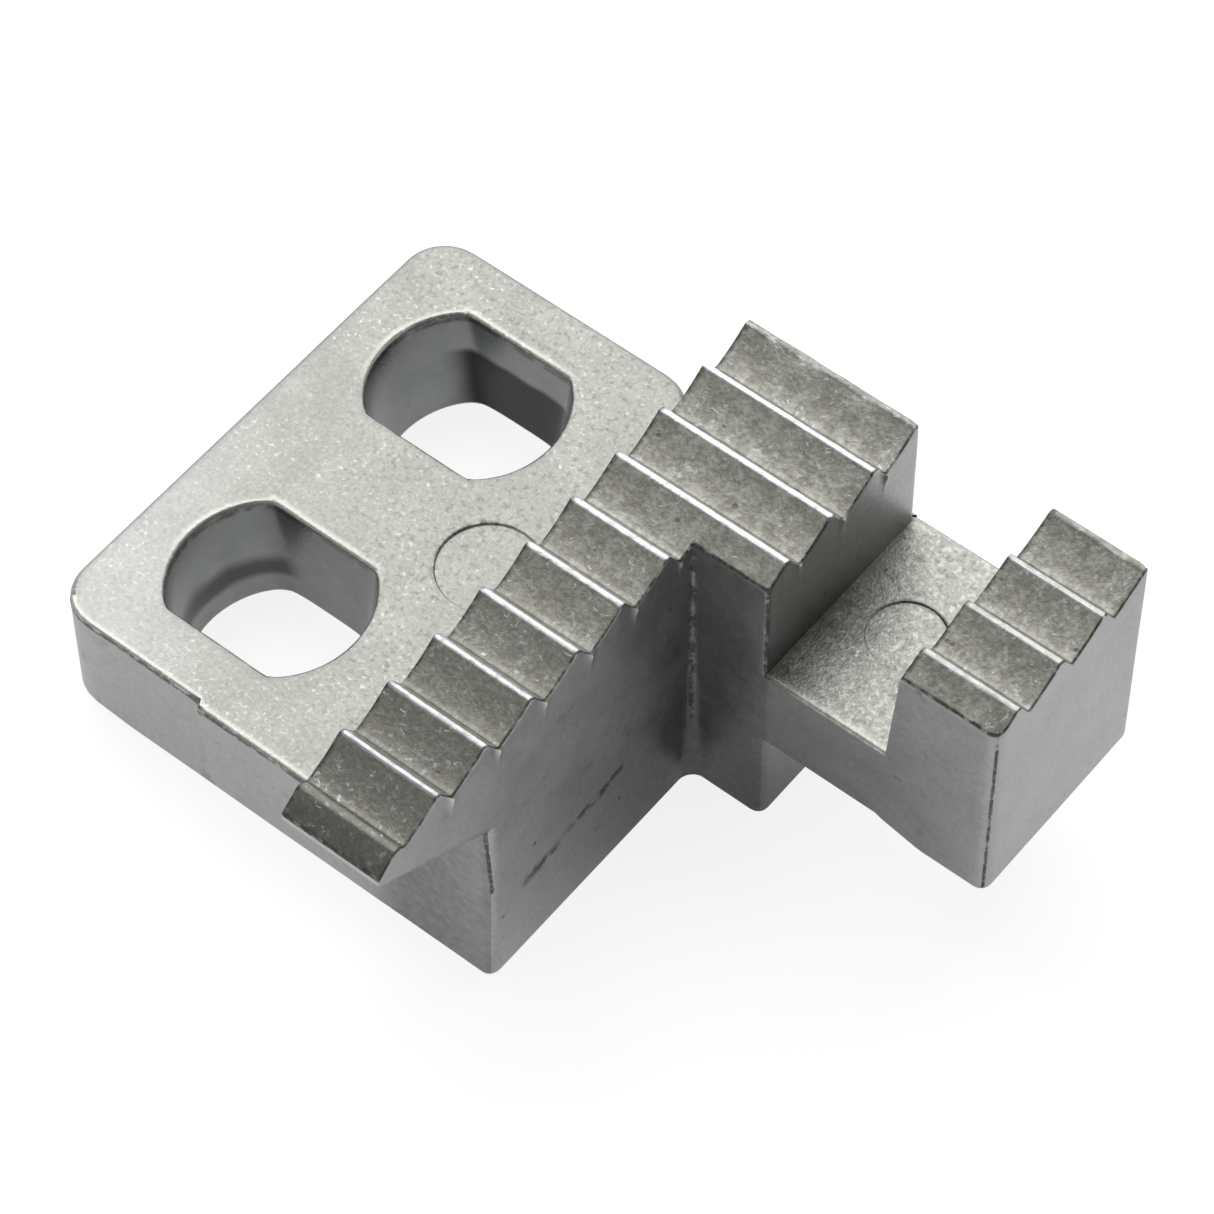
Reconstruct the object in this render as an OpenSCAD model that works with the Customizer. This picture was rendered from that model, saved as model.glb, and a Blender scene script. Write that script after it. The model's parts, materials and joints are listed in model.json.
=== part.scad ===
// Main feed dog of an overlock sewing machine: one moulded steel piece.
// A plate with two screw slots carries a long toothed row, and an arm behind
// the row's step carries a second, short toothed block.
// Millimetres, +Z up with the teeth on top. X runs across the rows from the
// plate's outer edge, Y from front to back along the teeth.
// The origin is on the underside, midway between the two screw slots.

/* [Mounting plate] */
// Width from the plate's outer edge to the toothed row
plate_w = 12.15; // [10.8:0.05:18]
// Depth from the front wall to the plate's back edge
plate_d = 16.2; // [15.8:0.05:20]
// Thickness of the plate
plate_t = 3.75; // [2.5:0.05:4.5]
// Radius of the plate's two outer corners, seen from above
plate_corner_r = 1.35; // [0.5:0.05:3]
// Distance from the toothed row to the side of the plate's rear lobe
lobe_inset = 2.55; // [1:0.05:3]
// Width of the shallow pad on the front wall
pad_w = 5; // [2:0.1:6]
// Distance from the toothed row to the pad
pad_inset = 1.8; // [0.5:0.1:3]
// How far the pad stands proud of the front wall
pad_proud = 0.2; // [0.1:0.05:0.5]

/* [Screw slots] */
// Thread diameter of the two clamping screws
screw_d = 4; // [3:0.1:4.5]
// Clearance between a screw and each flat of its slot
slot_clearance = 0.25; // [0.1:0.05:0.4]
// Sideways travel that the slots give a screw, on top of its clearance
slot_travel = 1.35; // [0.5:0.05:1.8]
// Distance from the plate's outer edge to the slots' centres
slot_inset = 4.45; // [4.2:0.05:5.5]
// Distance from the front wall to the front slot's centre
slot_front = 3.92; // [3.4:0.02:4.4]
// Distance between the two slots' centres
slot_spacing = 8.25; // [7:0.05:9]

/* [Toothed row] */
// Height of the tooth tips above the underside
tip_z = 10.9; // [9.8:0.05:14]
// Width of the narrow front stretch of the row
narrow_w = 3.15; // [2:0.05:5]
// How much wider the rear stretch of the row is
step_w = 2.4; // [1:0.05:4]
// Distance from the front wall to the step between the two stretches
step_y = 8.25; // [6:0.05:10]
// Distance from the front wall to the back of both rows
row_d = 14.75; // [13.5:0.05:15.4]
// Radius of the upright edges of the row, the arm and the block
edge_r = 0.35; // [0.1:0.05:0.6]

/* [Teeth] */
// Distance from one tooth tip to the next
tooth_pitch = 1.8; // [1.2:0.05:2.5]
// Depth from a tip to the valley behind it
tooth_h = 0.65; // [0.3:0.05:0.9]
// Length of the short steep side behind a tip
tooth_back = 0.55; // [0.3:0.05:0.8]
// Width of the worn flat on each tip
tip_land = 0.08; // [0.02:0.01:0.2]
// Distance from the rearmost tip to the back of the rows
last_tip_inset = 0.28; // [0.1:0.02:0.5]

/* [Front lip] */
// How far the row overhangs the front wall
lip_reach = 4.05; // [2:0.05:6]
// Depth below the tips of the blunt lip's upper edge
lip_depth = 1; // [0.6:0.05:1.5]
// Thickness of the blunt lip
lip_t = 0.35; // [0.2:0.05:0.8]
// Depth below the tips where the sloping underside meets the front wall
root_depth = 3.85; // [3:0.05:5]
// Slope of the bevel that runs from the lip up to the first tooth
bevel_angle = 39; // [30:1:50]

/* [Arm and block] */
// Clear gap between the row and the block, at the tips
block_gap = 4.15; // [3.5:0.05:6]
// Width of the block at the tips
block_w = 3; // [2:0.05:5]
// Height of the block's underside
block_bottom_z = 3.3; // [1.5:0.05:3.6]
// Draft angle of the block's inner wall
block_draft = 4.4; // [0:0.1:6]
// Height of the arm's upper face
arm_top_z = 6.75; // [6:0.05:8.5]
// Height of the arm's underside, next to the row
arm_bottom_z = 3.7; // [3.6:0.05:4.5]
// Width of the ramp from the arm's underside down to the block's
arm_ramp_w = 1.4; // [0.5:0.1:2.5]

/* [Ejector marks] */
// Diameter of the round mark on the plate
plate_mark_d = 3; // [1.5:0.1:3.5]
// Distance from the line of the slots to the plate mark's centre
plate_mark_x = 4.15; // [3.5:0.05:5]
// Diameter of the round mark on the arm
arm_mark_d = 2.2; // [1:0.1:2.6]
// Depth of both marks
mark_depth = 0.06; // [0.02:0.01:0.2]

/* [Hidden] */
$fn = 64;

over = 1;                                  // how far a cutter passes through
slot_w = screw_d + 2 * slot_clearance;     // across the flats
slot_len = slot_w + slot_travel;           // across the rounded ends
slot_middle_y = slot_front + slot_spacing / 2;
lobe_w = plate_w - lobe_inset;
narrow_x = plate_w + narrow_w;             // right wall of the narrow stretch
wide_x = narrow_x + step_w;                // right wall of the wide stretch
block_x = wide_x + block_gap;              // inner wall of the block at the tips
outer_x = block_x + block_w;               // outer wall of the block
lip_z = tip_z - lip_depth;
root_z = tip_z - root_depth;
tooth_count = 1 + floor((row_d - last_tip_inset + lip_reach) / tooth_pitch);

// Y of a tooth tip, counted from the back of the row.
function tip_y(i) = row_d - last_tip_inset - i * tooth_pitch;

// One tooth of the saw-tooth line from front to back: the valley in front of
// it, its flat tip, and the valley behind it, as [y, z].
function tooth_points(i) = [
    [tip_y(i) - tooth_pitch + tooth_back, tip_z - tooth_h],
    [tip_y(i) - tip_land, tip_z],
    [tip_y(i), tip_z],
    [tip_y(i) + tooth_back, tip_z - tooth_h]
];

// Rectangle from one corner to the other with four rounded corners.
module rounded_area(x0, y0, x1, y1, r) {
    translate([x0 + r, y0])
        square([x1 - x0 - 2 * r, y1 - y0]);
    translate([x0, y0 + r])
        square([x1 - x0, y1 - y0 - 2 * r]);
    for (x = [x0 + r, x1 - r], y = [y0 + r, y1 - r])
        translate([x, y])
            circle(r);
}

// Sweeps a [y, z] shape across X, between two walls.
module across(x0, x1) {
    translate([x0, 0, 0])
        rotate([90, 0, 90])
            linear_extrude(x1 - x0)
                children();
}

// Sweeps an [x, z] shape along Y, between two walls.
module along(y0, y1) {
    translate([0, y1, 0])
        rotate([90, 0, 0])
            linear_extrude(y1 - y0)
                children();
}

// Plate with rounded outer corners, and a lobe that passes behind the row.
module plate() {
    linear_extrude(plate_t) {
        rounded_area(0, 0, lobe_w, plate_d, plate_corner_r);
        translate([lobe_w / 2, 0])
            square([narrow_x - edge_r - lobe_w / 2, row_d]);
    }
    translate([plate_w - pad_inset - pad_w, -pad_proud, 0])
        cube([pad_w, pad_proud + over, plate_t]);
}

// Upright walls of the long row: the narrow stretch and the wider rear one.
module row_walls() {
    linear_extrude(tip_z + over) {
        rounded_area(plate_w, 0, narrow_x, row_d, edge_r);
        translate([plate_w, 0])
            square([edge_r, row_d]);
        rounded_area(plate_w, step_y, wide_x, row_d, edge_r);
    }
}

// Front of the row that hangs over the front wall, down to its blunt lip.
module front_lip() {
    slope = (root_depth - lip_depth - lip_t) / lip_reach;
    across(plate_w, narrow_x)
        polygon([
            [-lip_reach, lip_z - lip_t],
            [over, root_z - over * slope],
            [over, tip_z + over],
            [-lip_reach, tip_z + over]
        ]);
}

// Arm from the row to the block, and the block with its drafted inner wall.
module arm_and_block() {
    foot_x = block_x - (tip_z - arm_top_z) * tan(block_draft);
    top_x = block_x + over * tan(block_draft);
    intersection() {
        along(step_y, row_d)
            polygon([
                [narrow_x, arm_bottom_z],
                [foot_x, arm_bottom_z],
                [foot_x + arm_ramp_w, block_bottom_z],
                [outer_x, block_bottom_z],
                [outer_x, tip_z + over],
                [top_x, tip_z + over],
                [foot_x, arm_top_z],
                [narrow_x, arm_top_z]
            ]);
        linear_extrude(tip_z + over)
            rounded_area(narrow_x - over, step_y, outer_x, row_d, edge_r);
    }
}

// Everything above the saw-tooth line and above the bevel at the lip.
module above_teeth() {
    top = tip_z + 2 * over;
    rise = tan(bevel_angle);
    across(plate_w - over, outer_x + over) {
        polygon(concat(
            [[tip_y(tooth_count - 1) - tooth_pitch + tooth_back, top]],
            [for (i = [tooth_count - 1:-1:0]) each tooth_points(i)],
            [[tip_y(0) + tooth_back, top]]
        ));
        polygon([
            [-lip_reach - over, lip_z - over * rise],
            [-lip_reach + (top - lip_z) / rise, top],
            [-lip_reach - over, top]
        ]);
    }
}

// Round hole with two flats that face the front and the back.
module screw_slot() {
    translate([0, 0, -over])
        linear_extrude(plate_t + 2 * over)
            intersection() {
                circle(d = slot_len);
                square([slot_len, slot_w], center = true);
            }
}

// Shallow round mark, cut down from a face at the given height.
module ejector_mark(d, face_z) {
    translate([0, 0, face_z - mark_depth])
        cylinder(d = d, h = over);
}

// The whole piece, moved so that the slots' middle is the origin.
module feed_dog() {
    color([0.74, 0.74, 0.72])
        translate([-slot_inset, -slot_middle_y, 0])
            difference() {
                union() {
                    plate();
                    row_walls();
                    front_lip();
                    arm_and_block();
                }
                above_teeth();
                for (y = [slot_front, slot_front + slot_spacing])
                    translate([slot_inset, y, 0])
                        screw_slot();
                translate([slot_inset + plate_mark_x, slot_middle_y, 0])
                    ejector_mark(plate_mark_d, plate_t);
                translate([wide_x + block_gap / 2, (step_y + row_d) / 2, 0])
                    ejector_mark(arm_mark_d, arm_top_z);
            }
}

feed_dog();
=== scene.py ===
"""Finish and studio stage for a feed dog of an overlock sewing machine.

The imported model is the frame. Its one moulded piece is dressed with a finer skin that is worked
out with numpy: the same plate, row, lip, arm and block, with rounded rims, hollow tooth valleys
and the small unevenness of a moulding. Lengths are in metres unless a name says millimetres.
"""

import functools
import itertools
import json
import math
from types import SimpleNamespace

import bpy
import numpy as np
from mathutils import Matrix, Vector


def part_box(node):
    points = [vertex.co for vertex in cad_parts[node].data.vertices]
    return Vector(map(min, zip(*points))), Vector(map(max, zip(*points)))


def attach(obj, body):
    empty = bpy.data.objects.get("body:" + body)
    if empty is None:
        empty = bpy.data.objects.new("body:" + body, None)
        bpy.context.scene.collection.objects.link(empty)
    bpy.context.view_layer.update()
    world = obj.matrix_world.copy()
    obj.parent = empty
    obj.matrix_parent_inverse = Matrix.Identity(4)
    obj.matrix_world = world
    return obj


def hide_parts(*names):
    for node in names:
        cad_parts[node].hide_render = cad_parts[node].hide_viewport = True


bl_info = {
    "name": "Feed Dog Finish",
    "version": (1, 0, 0),
    "blender": (4, 5, 0),
    "location": "3D View > Sidebar > Feed Dog",
    "description": "Builds the finished skin of a feed dog and its studio stage",
    "category": "Object",
}

MM = 0.001
NEAR = 0.001 * MM  # two coordinates of the grid nearer than this are one
NODE = "feed_dog"
BODY = "root"
ROLL_TURN = math.radians(54)  # how far the worn back of a tip turns
SHARP_TURN = math.radians(42)  # an edge that turns more than this is shaded sharp
INNER_FADE = 0.8  # share of the inner corner's radius that is gone at the arm's top
MARK_FADE = 1.2  # radii round an ejector mark within which the grid goes square again
PAINTED_SHEEN = (0.95, 0.97, 1.0, 1.0)  # colour of a painted lighter sheen over the plate's outer part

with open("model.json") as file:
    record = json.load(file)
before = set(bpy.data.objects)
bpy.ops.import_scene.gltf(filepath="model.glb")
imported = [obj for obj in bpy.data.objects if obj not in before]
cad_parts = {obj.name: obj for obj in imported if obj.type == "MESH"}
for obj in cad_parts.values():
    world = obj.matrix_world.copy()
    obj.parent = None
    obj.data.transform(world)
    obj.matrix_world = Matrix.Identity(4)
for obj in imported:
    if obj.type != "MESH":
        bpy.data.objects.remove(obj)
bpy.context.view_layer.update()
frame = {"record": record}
LOW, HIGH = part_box(NODE)
MOUNTS = {mount["name"]: mount for mount in frame["record"]["mounts"]}
SLOTS = MOUNTS["screw_slots"]["dims"]


# ---------------------------------------------------------------- properties


def length(name, description, millimetres):
    """A length that the sidebar shows in the scene's unit."""
    return bpy.props.FloatProperty(
        name=name, description=description, default=millimetres * MM, min=0.0, unit="LENGTH",
        precision=5,
    )


def angle(name, description, degrees):
    """An angle that the sidebar shows in degrees."""
    return bpy.props.FloatProperty(
        name=name, description=description, default=math.radians(degrees), subtype="ANGLE"
    )


def place(name, description, millimetres):
    """A point in the model's frame."""
    return bpy.props.FloatVectorProperty(
        name=name, description=description, default=[c * MM for c in millimetres],
        subtype="TRANSLATION", precision=5,
    )


def share(name, description, value):
    """A plain number, such as a strength or a share of one."""
    return bpy.props.FloatProperty(name=name, description=description, default=value)


def colour(name, description, rgb):
    """A colour in linear light."""
    return bpy.props.FloatVectorProperty(
        name=name, description=description, default=rgb, subtype="COLOR", size=3, min=0, max=1
    )


class CastingSizes(bpy.types.PropertyGroup):
    """Sizes of the moulded piece."""

    plate_w: length("Plate width", "From the outer edge to the toothed row", 12.15)
    corner_r: length("Plate corner radius", "Of the plate's outer corners", 1.35)
    lobe_inset: length("Lobe inset", "From the row to the rear lobe's side", 2.55)
    pad_w: length("Pad width", "Of the shallow pad on the front wall", 5)
    pad_inset: length("Pad inset", "From the row to the pad", 1.8)
    pad_proud: length("Pad height", "How far the pad stands proud at its top", 0.2)
    front_draft: length("Front draft", "How far the front wall runs out to the underside", 0.12)
    narrow_w: length("Narrow row width", "Of the row's front stretch", 3.15)
    step_w: length("Step width", "How much wider the rear stretch is", 2.4)
    step_y: length("Step place", "From the front wall to the step", 8.25)
    row_d: length("Row depth", "From the front wall to the rows' back", 14.75)
    edge_r: length("Upright edge radius", "Of the row, arm and block", 0.35)
    crisp_r: length("Crisp edge radius", "Of the step above the arm", 0.12)
    inner_r: length("Inner corner radius", "Of the step's inner corner at the underside", 0.5)
    tooth_pitch: length("Tooth pitch", "From tip to tip", 1.8)
    tooth_h: length("Tooth depth", "From a tip to its valley", 0.65)
    tooth_back: length("Tooth back", "Length of the steep side behind a tip", 0.48)
    tip_land: length("Tip land", "Worn flat on each tip", 0.08)
    last_tip_inset: length("Last tip", "From the rearmost tip to the back", 0.28)
    lip_reach: length("Lip reach", "How far the row overhangs the front wall", 4.05)
    lip_depth: length("Lip depth", "From the tips to the lip's upper edge", 1)
    lip_t: length("Lip thickness", "Of the blunt front edge", 0.35)
    root_depth: length("Root depth", "From the tips to the lip's root", 3.85)
    bevel_angle: angle("Lip bevel", "Slope from the lip to the first tooth", 39)
    block_w: length("Block width", "Of the short toothed block at its tips", 3)
    block_bottom_z: length("Block underside", "Height of the block's underside", 3.3)
    block_draft: angle("Block draft", "Of the block's inner wall", 4.4)
    arm_top_z: length("Arm top", "Height of the arm's upper face", 6.75)
    arm_bottom_z: length("Arm underside", "Height of the arm's underside", 3.7)
    arm_ramp_w: length("Arm ramp", "Width of the ramp under the block", 1.4)
    plate_mark_d: length("Plate mark", "Diameter of the plate's ejector mark", 3)
    plate_mark_x: length("Plate mark place", "From the slots to the mark", 4.15)
    arm_mark_d: length("Arm mark", "Diameter of the arm's ejector mark", 2.2)
    mark_depth: length("Mark depth", "Depth of both ejector marks", 0.06)
    plate_rim_r: length("Plate rim radius", "Rounding of the plate's outer and back rims", 0.24)
    rim_r: length("Rim radius", "Rounding of the other rims", 0.12)
    tooth_rim_r: length("Tooth rim radius", "Rounding along the rows' walls", 0.05)
    slot_soft: length("Slot softness", "Rounding of the slots' corners at the top", 0.1)
    slot_tight: length("Slot lip", "How far each slot's wall stands inside its rim", 0.08)
    slot_taper: length("Slot taper", "How much each slot end narrows to the underside", 0.42)
    tip_round: length("Tip rounding", "Softness of each tip's front", 0.08)
    tip_roll: length("Tip roll", "Radius of each tip's worn back", 0.16)
    valley_round: length("Valley rounding", "Softness of each valley", 0.1)
    nose_round: length("Nose rounding", "Softness of the ridge above the lip's bevel", 0.42)
    scoop: share("Scoop", "Hollow of each broad tooth face, from 0 to 1", 0.35)
    waviness: length("Waviness", "Unevenness of the moulded faces", 0.006)
    tooth_wear: length("Tooth wear", "Dents on the toothed faces", 0.02)
    chipping: length("Chipping", "Depth of the chips along the rearmost tips", 0.09)
    burr: length("Burr", "Height of the burrs below the valleys' ends", 0.08)
    cell: length("Cell size", "Widest cell of the skin's mesh", 0.4)


class FinishColours(bpy.types.PropertyGroup):
    """Colours and grain of the steel."""

    top: colour("Upper faces", "Light satin steel of the plate and arm", (0.425, 0.425, 0.395))
    # painted glints over the grain and painted highlights over the polished rims
    glint: colour("Glint", "Bright grains and polished rims", (0.92, 0.91, 0.84))
    tooth: colour("Toothed faces", "Darker steel of the teeth", (0.5, 0.495, 0.45))
    # polished tips, and the colour of the painted glints and highlights on the teeth
    tip: colour("Tips", "Polished steel of the tips", (0.72, 0.74, 0.77))
    # a painted bluish sheen at the foot of each tooth
    valley: colour("Valleys", "Bluish steel at the foot of each tooth", (0.68, 0.77, 0.98))
    # set darker than the tops as painted shade
    wall: colour("Walls", "Moulded steel of the side walls", (0.36, 0.362, 0.362))
    # set darker than the walls as painted shade
    slot: colour("Slot walls", "Smooth steel inside the screw slots", (0.215, 0.224, 0.22))
    haze: colour("Haze", "Bluish patches on the walls", (0.365, 0.375, 0.385))
    stain: colour("Stain", "Olive brown mottling on the toothed faces", (0.275, 0.265, 0.225))
    # the dark of oil and dirt, and also of painted shade in corners, along edges and in the slots
    grime: colour("Grime", "Oil and dirt in pits, corners and edges", (0.045, 0.043, 0.042))
    grain: length("Grain", "Width of the fine grain", 0.09)


class StageSettings(bpy.types.PropertyGroup):
    """Camera, lamps and floor."""

    azimuth: angle("Azimuth", "Camera's turn round the piece", 39.186)
    elevation: angle("Elevation", "Camera's height above the horizon", 55.116)
    roll: angle("Roll", "Camera's turn about its own line of sight", -0.523)
    distance: length("Distance", "From the camera to the point it looks at", 134.702)
    target: place("Target", "Point that the camera looks at", (7.515, 0.8386, 4))
    lens: share("Lens", "Focal length in millimetres on a 36 mm frame", 150.6)
    key: share("Key lamp", "Brightness of the large lamp behind", 1.5)
    fill: share("Fill lamp", "Brightness of the small lamp at the side", 1.0)
    front: share("Front lamp", "Brightness of the lamp above the front", 0.5)
    room: share("Room light", "Brightness of the plain surroundings", 0.18)
    floor: colour("Floor", "Pale floor and backdrop", (0.4, 0.4, 0.4))
    floor_lift: share("Floor lift", "What brings the floor up to white in view", 0.82)
    # the floor that the steel reflects carries a painted shadow round this point
    recess: place("Recess", "Middle of the shaded floor beside the row", (13.5, -1, 0))
    recess_r: length("Recess radius", "Radius of that shaded floor", 10)


# ---------------------------------------------------------------- the casting's shape


def casting_plan(s):
    """Works out the places that the sizes fix.

    x is measured from the plate's outer edge, y from the front wall and z from the underside.
    The frame gives the overall width, depth and height, the plate's thickness and the slots.
    """
    p = SimpleNamespace()
    p.origin = np.array([LOW.x, LOW.y + s.lip_reach, LOW.z])
    p.outer_x = HIGH.x - LOW.x
    p.plate_d = HIGH.y - p.origin[1]
    p.tip_z = HIGH.z - LOW.z
    p.plate_t = MOUNTS["clamp_face"]["pos_m"][2] - LOW.z
    p.lobe_x = s.plate_w - s.lobe_inset
    p.narrow_x = s.plate_w + s.narrow_w
    p.wide_x = p.narrow_x + s.step_w
    p.block_x = p.outer_x - s.block_w
    p.lip_z = p.tip_z - s.lip_depth
    p.root_z = p.tip_z - s.root_depth
    p.slot_x = -p.origin[0]
    p.slot_half = SLOTS["hole_r_mm"] * MM
    p.slot_r = SLOTS["slot_length_mm"] * MM / 2
    p.slot_chord = math.sqrt(p.slot_r**2 - p.slot_half**2)
    half_spacing = SLOTS["spacing_y_mm"] * MM / 2
    p.slot_ys = [-p.origin[1] - half_spacing, -p.origin[1] + half_spacing]
    p.plate_mark = (p.slot_x + s.plate_mark_x, -p.origin[1], s.plate_mark_d / 2)
    p.arm_mark = ((p.wide_x + p.block_x) / 2, (s.step_y + s.row_d) / 2, s.arm_mark_d / 2)
    p.last_tip_y = s.row_d - s.last_tip_inset
    p.tooth_count = 1 + int((p.last_tip_y + s.lip_reach) / s.tooth_pitch)
    p.pad_x = s.plate_w - s.pad_inset - s.pad_w
    p.block_foot_x = p.block_x - (p.tip_z - s.arm_top_z) * math.tan(s.block_draft)
    return p


def stations(walls, marks, cell, least=0.01 * MM):
    """Sorted coordinates: walls and marks, with even steps of at most cell between two of them.

    Walls come first, so that of two coordinates in one bin of the least width the wall stays.
    Bins centred on whole widths and bins between them are thinned out in turn.
    """
    marks = np.concatenate([walls, np.clip(marks, min(walls), max(walls))])
    for to_bin in (np.round, np.floor):
        marks = marks[np.sort(np.unique(to_bin(marks / least), return_index=True)[1])]
    marks = np.sort(marks)
    steps = [
        np.linspace(a, b, math.ceil((b - a) / cell), endpoint=False)
        for a, b in itertools.pairwise(marks)
    ]
    return np.append(np.concatenate(steps), marks[-1])


def round_over(radius, count=4):
    """Distances from a rim at which a quarter round of that radius turns by equal angles."""
    return radius * (1 - np.cos(np.linspace(0, math.pi / 2, count + 1)))


def lattice_lines(s, p):
    """The three lists of coordinates whose grid the casting is cut from.

    Walls are where the steel's boxes end. Marks are further lines, close together where a rim, a
    tooth, a mark's circle or a thin dark line needs them.
    """
    rim, upright, corner = round_over(s.rim_r), round_over(s.edge_r), round_over(s.corner_r, 6)
    tooth_rim, plate_rim = round_over(s.tooth_rim_r, 3), round_over(s.plate_rim_r, 5)
    inner, side = round_over(s.inner_r, 5), 0.1 * MM
    x_walls = [
        0, p.slot_x - p.slot_chord, p.slot_x + p.slot_chord, p.lobe_x, s.plate_w, p.narrow_x,
        p.wide_x, p.block_x, p.outer_x,
    ]
    y_walls = [-s.lip_reach, 0, s.step_y, s.row_d, p.plate_d]
    x_marks = [
        plate_rim, corner,
        p.pad_x + np.array([0, side, s.pad_w - side, s.pad_w]),
        p.lobe_x - plate_rim, p.lobe_x - corner, s.plate_w + tooth_rim,
        p.narrow_x - tooth_rim, p.narrow_x - upright, p.wide_x - tooth_rim, p.wide_x - upright,
        p.block_x + tooth_rim, p.outer_x - tooth_rim, p.outer_x - upright,
        p.wide_x - round_over(s.crisp_r, 3), p.narrow_x + inner,
        p.wide_x + np.array([0.3, 0.5]) * MM, p.narrow_x - np.arange(0.05, 0.45, 0.05) * MM,
    ]
    y_marks = [
        -s.lip_reach + tooth_rim, rim, corner, upright,
        p.plate_d - plate_rim, p.plate_d - corner, s.row_d - plate_rim,
        s.step_y + tooth_rim, s.step_y + upright, s.row_d - tooth_rim, s.row_d - upright,
        s.step_y - inner,
    ]
    # Outwards from a slot's wall, and less than 0 inwards.
    around_slot = np.concatenate([rim, np.array([0.25, -0.08, -0.2, -0.35]) * MM])
    x_marks += [x_walls[1] - around_slot, x_walls[2] + around_slot]
    for slot_y in p.slot_ys:
        flats = slot_y - p.slot_half, slot_y + p.slot_half
        y_walls += flats
        y_marks += [flats[0] - around_slot, flats[1] + around_slot]
    for centre_x, centre_y, radius in (p.plate_mark, p.arm_mark):
        for ring in (radius, radius - side / 2, radius + side, MARK_FADE * radius):
            x_marks.append([centre_x - ring, centre_x + ring])
            y_marks.append([centre_y - ring, centre_y + ring])
    # Backwards from a tip.
    around_tip = np.array([-0.2, -0.12, -0.08, -0.04, 0, 0.05, 0.1, 0.16]) * MM
    around_valley = s.tooth_back + np.array([-0.14, -0.05, 0, 0.05, 0.16, 0.32]) * MM
    for tip in p.last_tip_y - np.arange(p.tooth_count) * s.tooth_pitch:
        y_marks += [tip + around_tip, tip + around_valley]
    x_marks, y_marks = np.concatenate(x_marks), np.concatenate(y_marks)
    # Downwards from a level face.
    below = np.array([0.02, 0.12, 0.3]) * MM
    z_walls = [0, p.plate_t, s.arm_top_z, p.root_z, p.tip_z]
    z_marks = np.concatenate([
        below, p.plate_t - below, p.plate_t + below, s.arm_top_z - below, s.arm_top_z + below[:1],
        p.root_z - below[:1], p.tip_z - np.array([0.06, 0.18, 0.35, 0.6, 0.9, 1.25]) * MM,
    ])
    on_plate, fine = x_marks <= s.plate_w, 0.5 * s.cell
    x_lines = np.concatenate([
        stations(x_walls[:5], x_marks[on_plate], s.cell),
        stations(x_walls[4:], x_marks[~on_plate], fine)[1:],
    ])
    return x_lines, stations(y_walls, y_marks, fine), stations(z_walls, z_marks, s.cell)


def filled_cells(s, p, lines):
    """Which cells of the grid are steel: seven boxes, less the two screw slots."""
    x, y, z = np.meshgrid(*[(a[1:] + a[:-1]) / 2 for a in lines], indexing="ij", sparse=True)

    def boxes(*extents):
        return functools.reduce(np.logical_or, (
            (x > x0) & (x < x1) & (y > y0) & (y < y1) & (z > z0) & (z < z1)
            for x0, x1, y0, y1, z0, z1 in extents
        ))

    steel = boxes(
        (0, s.plate_w, 0, s.row_d, 0, p.plate_t),
        (0, p.lobe_x, 0, p.plate_d, 0, p.plate_t),
        (s.plate_w, p.narrow_x, 0, s.row_d, 0, p.tip_z),
        (s.plate_w, p.narrow_x, -s.lip_reach, 0, p.root_z, p.tip_z),
        (p.narrow_x, p.wide_x, s.step_y, s.row_d, 0, p.tip_z),
        (p.wide_x, p.block_x, s.step_y, s.row_d, p.plate_t, s.arm_top_z),
        (p.block_x, p.outer_x, s.step_y, s.row_d, p.plate_t, p.tip_z),
    )
    slot_x = p.slot_x - p.slot_chord, p.slot_x + p.slot_chord
    return steel & ~boxes(*[
        (*slot_x, slot_y - p.slot_half, slot_y + p.slot_half, 0, p.plate_t) for slot_y in p.slot_ys
    ])


def boundary_quads(steel):
    """The closed skin of the filled cells.

    Wherever a filled and an empty cell meet along an axis there is one quad, wound so that it
    faces the empty cell. Returns the corners' grid indices, the quads, and each quad's axis and
    side (+1 or -1).
    """
    padded = np.pad(steel, 1).astype(np.int8)
    corners, axes, sides = [], [], []
    for axis in range(3):
        change = np.diff(padded, axis=axis)
        across, along = (axis + 1) % 3, (axis + 2) % 3
        for side in (1, -1):
            cell = np.argwhere(change == -side)
            cell[:, across] -= 1
            cell[:, along] -= 1
            ring = np.zeros((4, 3), int)
            ring[[1, 2], across] = 1
            ring[[2, 3], along] = 1
            corners.append(cell[:, None, :] + ring[::side][None])
            axes.append(np.full(len(cell), axis))
            sides.append(np.full(len(cell), side))
    corners = np.concatenate(corners)
    shape = np.array(steel.shape) + 1
    flat = np.ravel_multi_index(corners.reshape(-1, 3).T, shape)
    used, quads = np.unique(flat, return_inverse=True)
    grid = np.stack(np.unravel_index(used, shape), 1)
    return grid, quads.reshape(-1, 4), np.concatenate(axes), np.concatenate(sides)


def at(coordinate, place):
    """Whether coordinates of the grid are at a place."""
    return abs(coordinate - place) < NEAR


def inset(x, y, x0, y0, x1, y1):
    """Distance of a point inside a rectangle from the nearest side, less than 0 outside."""
    return np.minimum.reduce([x - x0, x1 - x, y - y0, y1 - y])


def fall(distance, radius):
    """How far a rim's quarter round has fallen, at a distance inwards from the wall."""
    over = radius - np.clip(distance, 0, radius)
    return radius - np.sqrt(radius**2 - over**2)


def soft_max(a, b, width):
    """The higher of two lines, with their corner rounded by a hyperbola of that width."""
    return (a + b + np.sqrt((a - b) ** 2 + width**2)) / 2


def soft_min(a, b, width):
    """The lower of two lines, with their corner rounded in the same way."""
    return -soft_max(-a, -b, width)


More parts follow.
